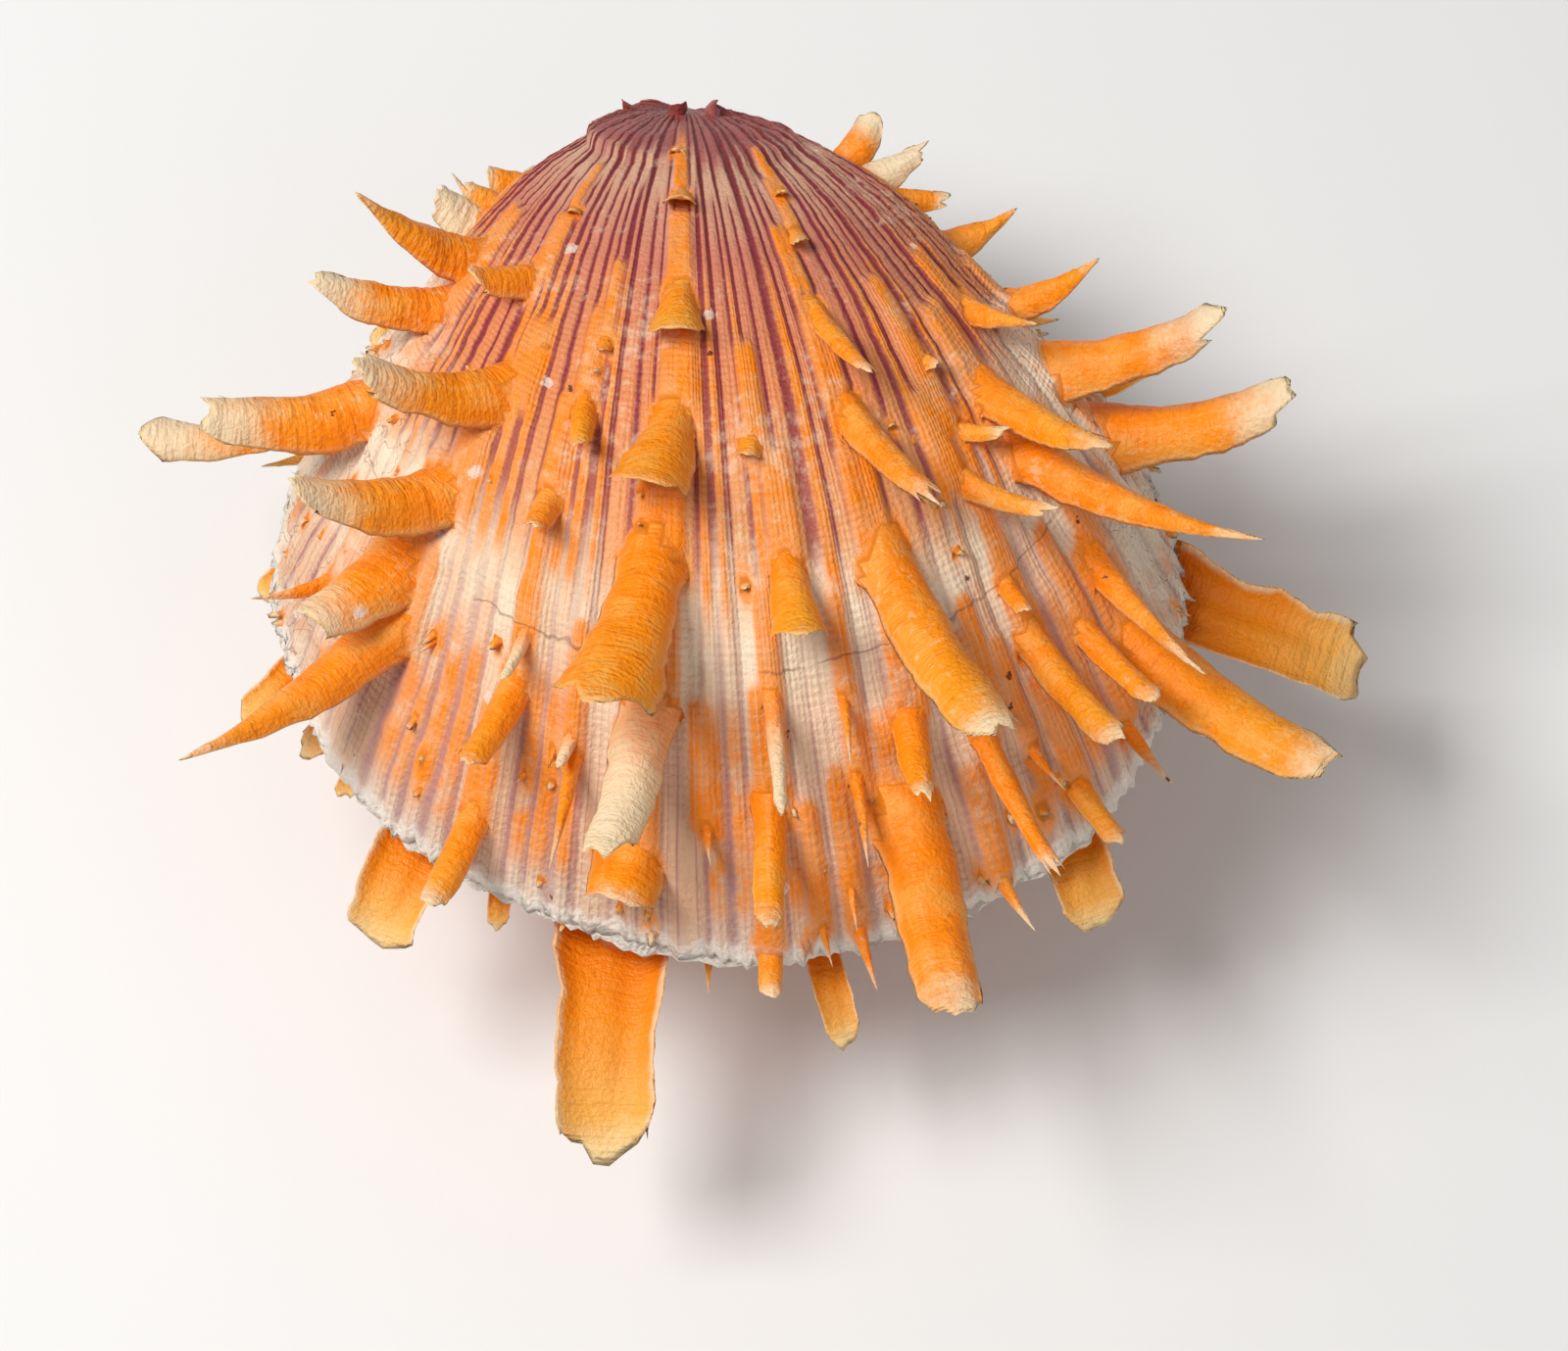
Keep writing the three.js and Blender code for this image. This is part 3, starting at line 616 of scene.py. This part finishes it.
def shell_finish(name, seed, ridge_stops, groove_stops, orange_riblets):
    """Satin calcite. The stops colour the riblets and their grooves from the umbo to the margin, and
    orange_riblets is the share of the riblets that turn orange."""
    net = Finish(name)
    spot = net.node("ShaderNodeTexCoord", {}, {}, "Object") / MM
    _, towards_hinge, height = spot.parts()
    place, stage, phase, rib = (net.number(key) for key in ("place", "stage", "phase", "rib"))
    t, x, inside, spine, tone, own = (net.number(key) for key in ("t", "x", "inside", "spine", "tone", "own"))
    length = net.number("length")
    mottle = net.noise(spot + seed, 0.30, 2.0, 0.6)
    patch = net.noise(spot + seed * 3, 0.09, 2.0)
    grain = net.noise(spot, 1.9, 2.0, 0.6)
    blot = net.noise(spot + own * 3, 0.7, 3.0, 0.7)

    # The wall: riblets and grooves, whose colours change with the stage of growth
    young = 1 - stage.rise(0.30, 0.40)
    luck = net.chance(phase.floor() + seed)
    middle = net.between(young, abs(phase.fract() * 2 - 1), abs((phase * 0.5).fract() * 2 - 1))
    late = stage.rise(0.70, 0.85)
    age = stage + mottle * 0.02 + (luck - 0.5) * 0.05 + patch * 0.03
    ridge_colour = net.scale(age, ridge_stops)
    groove_colour = net.scale(age, groove_stops)
    groove = middle + grain * 0.12 + (luck - 0.5) * 0.5 - late * 0.12
    groove = groove.rise(0.38, 0.78) * (1 - late * 0.15) * (1 - rib * 0.8)
    fine = abs((phase * 4).fract() * 2 - 1)
    joint = net.number("joint").rise(0.0, 0.25)
    groove = groove.max(fine.rise(0.75, 0.98) * late * 0.6) * (1 - joint)
    wall = net.tint(groove, ridge_colour, groove_colour)
    orange = net.tint((mottle + grain * 0.4).rise(-0.3, 0.4), paint("EA944A"), paint("F28404"))
    warm = luck.rise(1 - orange_riblets - 0.05, 1 - orange_riblets + 0.05) * stage.rise(0.42, 0.58)
    pause = stage.rise(0.74, 0.79) * (1 - stage.rise(0.82, 0.86))
    warm = warm * (1 - pause * 0.8) * (1 - stage.rise(0.95, 0.98))
    warm = warm * (patch + mottle * 0.5 + 0.5).rise(0.0, 0.4)
    warm = warm.max(rib.rise(0.2, 0.8) * stage.rise(0.18, 0.3))
    wall = net.tint((warm * (1 - groove * 0.9)).max(joint * stage.rise(0.16, 0.26)), wall, orange)
    flank = abs(place - 0.5).rise(0.16, 0.26) * stage.rise(0.55, 0.75) * (1 - joint * 0.8)
    wall = net.tint(flank * (patch + mottle * 0.6).rise(-0.25, 0.3) * 0.85, wall, paint("EBDCC4"))
    dust = (blot + patch).rise(0.12, 0.7) * stage.rise(0.2, 0.32) * 0.4
    wall = net.tint(dust, wall, paint("EED6B8"))
    wall = net.tint((stage + grain * 0.004).rise(0.984, 0.996) * (1 - rib * 0.6), wall, paint("E6DACC"))

    # The flat face of the hinge, in growth layers
    hinge = net.number("hinge").rise(0.0, 0.08) * towards_hinge.rise(26, 30)
    layer = (height * 5.5 + (height * 2.3).sin() * 1.5 + grain * 0.6).sin()
    wall = net.tint(hinge, wall, net.tint(layer.rise(-0.6, 0.9), paint("D6C2A4"), paint("BC9C7C")))

    # Spines: orange mottled with peach, paler to the end, deeper orange in the hollow with pale rims
    own_patch = net.noise(spot + own, 0.22, 2.0, 0.6)
    peach = (own_patch * 1.2 + grain * 0.35 + t * 0.25).rise(-0.05, 0.55)
    back = net.tint(peach, paint("FA8600"), paint("F49A38"))
    amber = net.tint(t.rise(0.3, 0.95) * net.chance(own + 0.5) * 0.8, back, paint("EE9C0A"))
    streak = net.noise(net.vector(x * 6, t * length * 0.08, own), 1.0, 2.0, 0.65)
    amber = net.tint(streak.rise(0.05, 0.6) * 0.35, amber, paint("F6B660"))
    crust = (blot + net.chance(own + 0.9) * 0.4).rise(0.5, 0.75)
    amber = net.tint(crust * 0.4, amber, paint("EBCBA0"))
    # Painted shade: dark orange-brown blots on the backs of the spines stand in for the shadows in their low
    # places
    painted_shade_blots = (blot * -1 - own_patch * 0.3).rise(0.05, 0.6)
    amber = net.tint(painted_shade_blots * 0.5, amber, paint("CE6404"))
    pale = (t + grain * 0.08 + own_patch * 0.15).rise(1.0 - tone * 0.75, 1.15 - tone * 0.35)
    back = net.tint(pale * tone.rise(0.0, 0.3), amber, paint("E9D2AC"))
    front = net.scale(t + grain * 0.05 + own_patch * 0.12, [
        (0.0, "CE5A02"), (0.3, "E67404"), (0.6, "EE8A10"), (0.85, "EFAA4C"), (1.0, "F0CB8C")])
    rims = (abs(x) + own_patch * 0.08).rise(0.84, 0.99) * t.rise(0.05, 0.3)
    front = net.tint(rims * 0.8, front, paint("EFD7B5"))
    thorn = net.tint(inside, back, front)
    thorn = net.tint(rims * 0.35, thorn, paint("E8C88E"))
    thorn = net.tint(1 - stage.rise(0.16, 0.26), thorn, paint("9C4C48"))
    colour = net.tint(spine * (t + grain * 0.03).rise(0.02, 0.16), wall, thorn)

    # Cracks where growth paused and between the layers of the flank, pale chips, and dark worm pits
    crack = abs(stage - 0.806 + patch * 0.012 + mottle * 0.008).rise(0.0004, 0.0016)
    crack = (1 - crack) * patch.rise(-0.3, -0.1) * (1 - spine)
    colour = net.tint(crack * 0.5, colour, paint("6A4030"))
    split = (1 - abs(mottle - patch * 0.8 + grain * 0.03).rise(0.006, 0.024)) * flank * (1 - joint)
    colour = net.tint(split * 0.55, colour, paint("6A4030"))
    cell, draw = net.cells(spot + net.vector(mottle, grain, patch) * 0.9, 0.31)
    chips = (1 - cell.rise(0.17, 0.24)) * draw.over(0.95) * stage.rise(0.2, 0.35)
    colour = net.tint(chips * 0.7, colour, paint("E6D6C8"))
    pits = (1 - cell.rise(0.08, 0.11)) * (1 - draw.over(0.09))
    colour = net.tint(pits * 0.9, colour, paint("5A2414"))

    # Fine relief: threads along growth crossed by beads on the wall, and lines across the spines
    threads = (phase * (THREADS * 2 * math.pi)).cos()
    beads = (stage * (HINGE_TO_MARGIN / BEAD_PITCH * 2 * math.pi) + grain * 1.5).sin()
    relief = (threads + beads) * 0.25 * stage.rise(0.35, 0.65) * (1 - joint)
    lines = net.noise(net.vector(x * 0.6, t * length * 1.4, own), 1.0, 2.0, 0.7)
    relief = relief + lines * 1.8 * spine * t.rise(0.05, 0.3) + grain * 1.1 + layer * hinge * 1.2
    bump = net.node("ShaderNodeBump", {}, {"Strength": 0.55, "Distance": 0.22 * MM, "Height": relief})
    rough = 0.46 + grain * 0.08 + groove * 0.10 + dust * 0.15 + hinge * 0.2
    shader = net.node("ShaderNodeBsdfPrincipled", {}, {
        "Base Color": colour, "Roughness": rough, "IOR": 1.5, "Specular IOR Level": 0.3, "Normal": bump})
    net.node("ShaderNodeOutputMaterial", {}, {"Surface": shader})
    return net.material


# Place along the margin 0 to 1, growth stage 0 to 1, length, width, sway along the margin in degrees, form,
# and how many degrees more it stands, where it differs from the rule
LOWER_SPINES = [
    (0.22, 0.96, 5, 4, 25, "stub", -10),
    (0.26, 0.96, 10, 5, 25, "blade", -10),
    (0.31, 0.96, 5, 3, 30, "stub", -10),
    (0.35, 0.96, 14, 10, 25, "blade", -5),
    (0.39, 0.96, 6, 3, 30, "blade", -10),
    (0.44, 0.96, 25, 13, 20, "blade"),
    (0.48, 0.96, 6, 2, 10, "point"),
    (0.525, 0.96, 12, 4.5, 10, "blade"),
    (0.64, 0.96, 12, 8.5, -30, "blade", -10),
    (0.75, 0.96, 23, 11, -5, "blade"),
    (0.85, 0.96, 9, 4, 25, "blade", 20),
]

# Spines lower on the lower valve, by rule: one on each main rib, all about level
LOW_ROW = 14
LOW_PLACES = (0.11, 0.78)           # the first place, and how far it is from there to the last
LOW_STAGES = (0.82, 0.035)          # the middle stage, and how far they swing to either side of it
LOW_LENGTHS = (11, 3, 2.4)          # the middle length, the swing, and the radians from one spine to the next
LOW_WIDTH = 4.5
LOW_DIP = 4                         # degrees below level
LOW_FOLD = 0.75


def low_row():
    rows = []
    for k in range(LOW_ROW):
        rows.append({
            "place": LOW_PLACES[0] + LOW_PLACES[1] * k / (LOW_ROW - 1),
            "stage": LOW_STAGES[0] + LOW_STAGES[1] * (1 if k % 2 else -1),
            "length": LOW_LENGTHS[0] + LOW_LENGTHS[1] * math.sin(LOW_LENGTHS[2] * k),
            "width": LOW_WIDTH, "sway": 0.0, "lift": math.radians(-LOW_DIP), "from_level": 1.0,
            "own": k * 2.9, "fold": LOW_FOLD, **FORMS["point" if k % 3 else "blade"]})
    return rows


lower_finish = shell_finish(
    "lower shell", seed=5.0, orange_riblets=0.5,
    ridge_stops=[(0.0, "E3D8CC"), (0.45, "DCCABB"), (0.7, "D9A088"), (0.85, "DDB9A4"), (1.0, "E0CCBE")],
    groove_stops=[(0.0, "CDBBAE"), (0.45, "B58F88"), (0.7, "94505A"), (0.85, "A57C84"), (1.0, "BFA6A8")])
lower = grow_valve("lower_valve_shell", {
    "Spines": spine_table("lower spine table", LOWER_SPINES, low_row()), "Side": -1.0,
    "Turn": math.radians(50), "Turn power": 1.7, "Umbo shift": (0.0, 0.5, -12.0),
    "Hollow share": (0.90, 0.92, 0.84), "Seed": 5.0, "Shell": lower_finish})
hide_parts("lower_valve")
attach(lower, "root")


# The upper valve is the left, free one, of the same calcite. Its early shell is plum red, its riblets turn
# pink, orange and cream towards the margin with wine red grooves, and its spines are orange. It rests on the
# lower valve and meets it along the margin.

# Its spines, in the same columns as the lower valve's
UPPER_SPINES = [
    (0.18, 0.14, 4, 2, -10, "stub", 20),
    (0.45, 0.12, 2, 2.5, 0, "stub", 40),
    (0.58, 0.13, 1.5, 5, 0, "stub", 30),
    (0.04, 0.74, 6, 5, 5, "blade"),
    (0.05, 0.86, 7, 3, 0, "point", 35),
    (0.11, 0.62, 5, 4, 20, "ragged", 25),
    (0.10, 0.70, 7, 7, 50, "ear", 20),
    (0.25, 0.54, 17, 8, -15, "horn", 35),
    (0.25, 0.61, 15, 6, -35, "flap", 20),
    (0.24, 0.75, 20, 8, -25, "flap", 10),
    (0.27, 0.89, 10, 3, -20, "point", 5),
    (0.17, 0.93, 20, 5, 0, "paddle"),
    (0.33, 0.40, 4, 2, 20, "stub"),
    (0.33, 0.50, 9, 5, -30, "stub", 10),
    (0.35, 0.63, 19, 7, -60, "flap", 20),
    (0.33, 0.74, 19, 7, -55, "flap", 20),
    (0.31, 0.80, 16, 8, 0, "flap"),
    (0.32, 0.86, 28, 8, -15, "horn"),
    (0.41, 0.54, 4, 2, 5, "stub", -10),
    (0.40, 0.60, 10, 3, 15, "stub", -10),
    (0.39, 0.69, 8, 3.5, 10, "stub"),
    (0.39, 0.80, 9, 2, 10, "stick"),
    (0.39, 0.84, 13, 4, 0, "stub"),
    (0.42, 0.86, 6, 2, 0, "stick"),
    (0.42, 0.88, 15, 2.5, 15, "point"),
    (0.38, 0.94, 14, 4, 10, "blade"),
    (0.47, 0.24, 5, 2.5, -5, "stub"),
    (0.47, 0.33, 8, 3, 0, "fan"),
    (0.47, 0.46, 12, 5, 0, "fan", -10),
    (0.47, 0.59, 15, 7, -10, "fan", -5),
    (0.46, 0.71, 25, 9, -10, "spatula"),
    (0.46, 0.82, 22, 7, -10, "bone"),
    (0.45, 0.92, 9, 9, -5, "blade"),
    (0.48, 0.90, 7, 2, 15, "point", -5),
    (0.52, 0.62, 5, 3, -15, "stub", -5),
    (0.53, 0.72, 13, 5, -5, "fan"),
    (0.515, 0.82, 16, 2.5, -5, "stick"),
    (0.51, 0.89, 16, 4, -10, "blade"),
    (0.505, 0.98, 8, 3, -5, "blade"),
    (0.525, 0.97, 7, 1.5, 5, "point"),
    (0.54, 0.95, 7, 1.5, -15, "point"),
    (0.54, 0.98, 9, 2, 0, "point"),
    (0.55, 0.83, 10, 1.5, -20, "point"),
    (0.55, 0.89, 11, 2, -20, "point"),
    (0.61, 0.35, 4, 2, -15, "stub"),
    (0.60, 0.41, 6, 2.5, -10, "stub", -5),
    (0.58, 0.49, 18, 3.5, 5, "ragged", -10),
    (0.58, 0.60, 21, 5, 10, "ragged", -5),
    (0.58, 0.73, 31, 7.5, 0, "blade"),
    (0.58, 0.85, 13, 5, -30, "ragged"),
    (0.57, 0.92, 25, 8, -20, "blade"),
    (0.65, 0.59, 5, 2.5, 10, "stub", -5),
    (0.65, 0.67, 7, 3, 45, "ragged"),
    (0.64, 0.71, 13, 4, 25, "ragged", 5),
    (0.65, 0.80, 7, 2.5, -30, "stub", -5),
    (0.65, 0.85, 18, 4.5, -20, "blade"),
    (0.62, 0.87, 6, 2, -10, "point"),
    (0.63, 0.91, 8, 2, -10, "point", -5),
    (0.61, 0.89, 20, 3.5, -15, "ragged"),
    (0.645, 0.95, 11, 3, -20, "blade", -5),
    (0.60, 0.98, 9, 2.5, -5, "point"),
    (0.68, 0.95, 12, 3, -35, "point", -10),
    (0.68, 0.87, 15, 3.5, -25, "blade", -5),
    (0.73, 0.60, 12, 4, -10, "horn"),
    (0.69, 0.65, 22, 6.5, -10, "ragged"),
    (0.69, 0.73, 32, 7, 0, "horn", 5),
    (0.71, 0.85, 24, 5, -40, "point", -10),
    (0.70, 0.91, 28, 8.5, -10, "blade", -5),
    (0.81, 0.72, 12, 6, -40, "horn", 20),
    (0.77, 0.75, 20, 7, 0, "flap", 25),
    (0.78, 0.86, 21, 8, 0, "flap", 20),
    (0.91, 0.81, 10, 6, -10, "horn", 15),
    (0.89, 0.60, 8, 5, 10, "ragged"),
    (0.91, 0.59, 8, 5, 0, "ear", 25),
    (0.95, 0.65, 7, 5, 5, "flap", 50),
]
upper_finish = shell_finish(
    "upper shell", seed=2.0, orange_riblets=0.55,
    ridge_stops=[
        (0.0, "96443C"), (0.26, "A65650"), (0.31, "D6A486"), (0.44, "CC7C62"), (0.60, "DC8650"),
        (0.72, "E4A068"), (0.77, "EED9BC"), (0.84, "E6C4A2"), (0.95, "DCAC88"), (1.0, "DCC0A8")],
    groove_stops=[
        (0.0, "641E1E"), (0.27, "762828"), (0.42, "822C34"), (0.60, "8A303A"), (0.71, "A2544C"),
        (0.77, "DCC2A6"), (0.83, "C89E90"), (0.90, "A4666A"), (0.96, "A87878"), (1.0, "B89088")])
upper = grow_valve("upper_valve_shell", {
    "Spines": spine_table("upper spine table", UPPER_SPINES), "Side": 1.0,
    "Turn": math.radians(58), "Turn power": 1.4, "Umbo shift": (0.0, 0.0, 0.0),
    "Hollow share": (0.90, 0.92, 0.86), "Seed": 2.0, "Shell": upper_finish})
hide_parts("upper_valve")
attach(upper, "root")


# A pale floor under the shell, and soft studio light from above and from the sides.
HALF_FLOOR = 3000 * MM
floor_mesh = bpy.data.meshes.new("floor")
floor_mesh.from_pydata([(-HALF_FLOOR, -HALF_FLOOR, 0), (HALF_FLOOR, -HALF_FLOOR, 0),
                        (HALF_FLOOR, HALF_FLOOR, 0), (-HALF_FLOOR, HALF_FLOOR, 0)], [], [(0, 1, 2, 3)])
floor = bpy.data.objects.new("floor", floor_mesh)
bpy.context.collection.objects.link(floor)
floor_paint = bpy.data.materials.new("floor")
floor_paint.use_nodes = True
floor_paint.node_tree.nodes["Principled BSDF"].inputs["Base Color"].default_value = (0.80, 0.79, 0.77, 1)
floor_paint.node_tree.nodes["Principled BSDF"].inputs["Roughness"].default_value = 0.8
floor_mesh.materials.append(floor_paint)


def light(name, place, size, power):
    lamp = bpy.data.lights.new(name, "AREA")
    lamp.size = size
    lamp.energy = power
    holder = bpy.data.objects.new(name, lamp)
    holder.location = place
    holder.rotation_euler = (-Vector(place)).to_track_quat("-Z", "Y").to_euler()
    bpy.context.collection.objects.link(holder)


light("key", place=(-0.40, -0.05, 0.70), size=0.35, power=6.0)
light("fill", place=(0.6, -0.5, 0.5), size=0.8, power=1.2)
world = bpy.data.worlds.new("studio")
world.use_nodes = True
world.node_tree.nodes["Background"].inputs["Color"].default_value = (0.95, 0.97, 1.0, 1)
world.node_tree.nodes["Background"].inputs["Strength"].default_value = 0.30
bpy.context.scene.world = world
bpy.context.scene.view_settings.view_transform = "Standard"
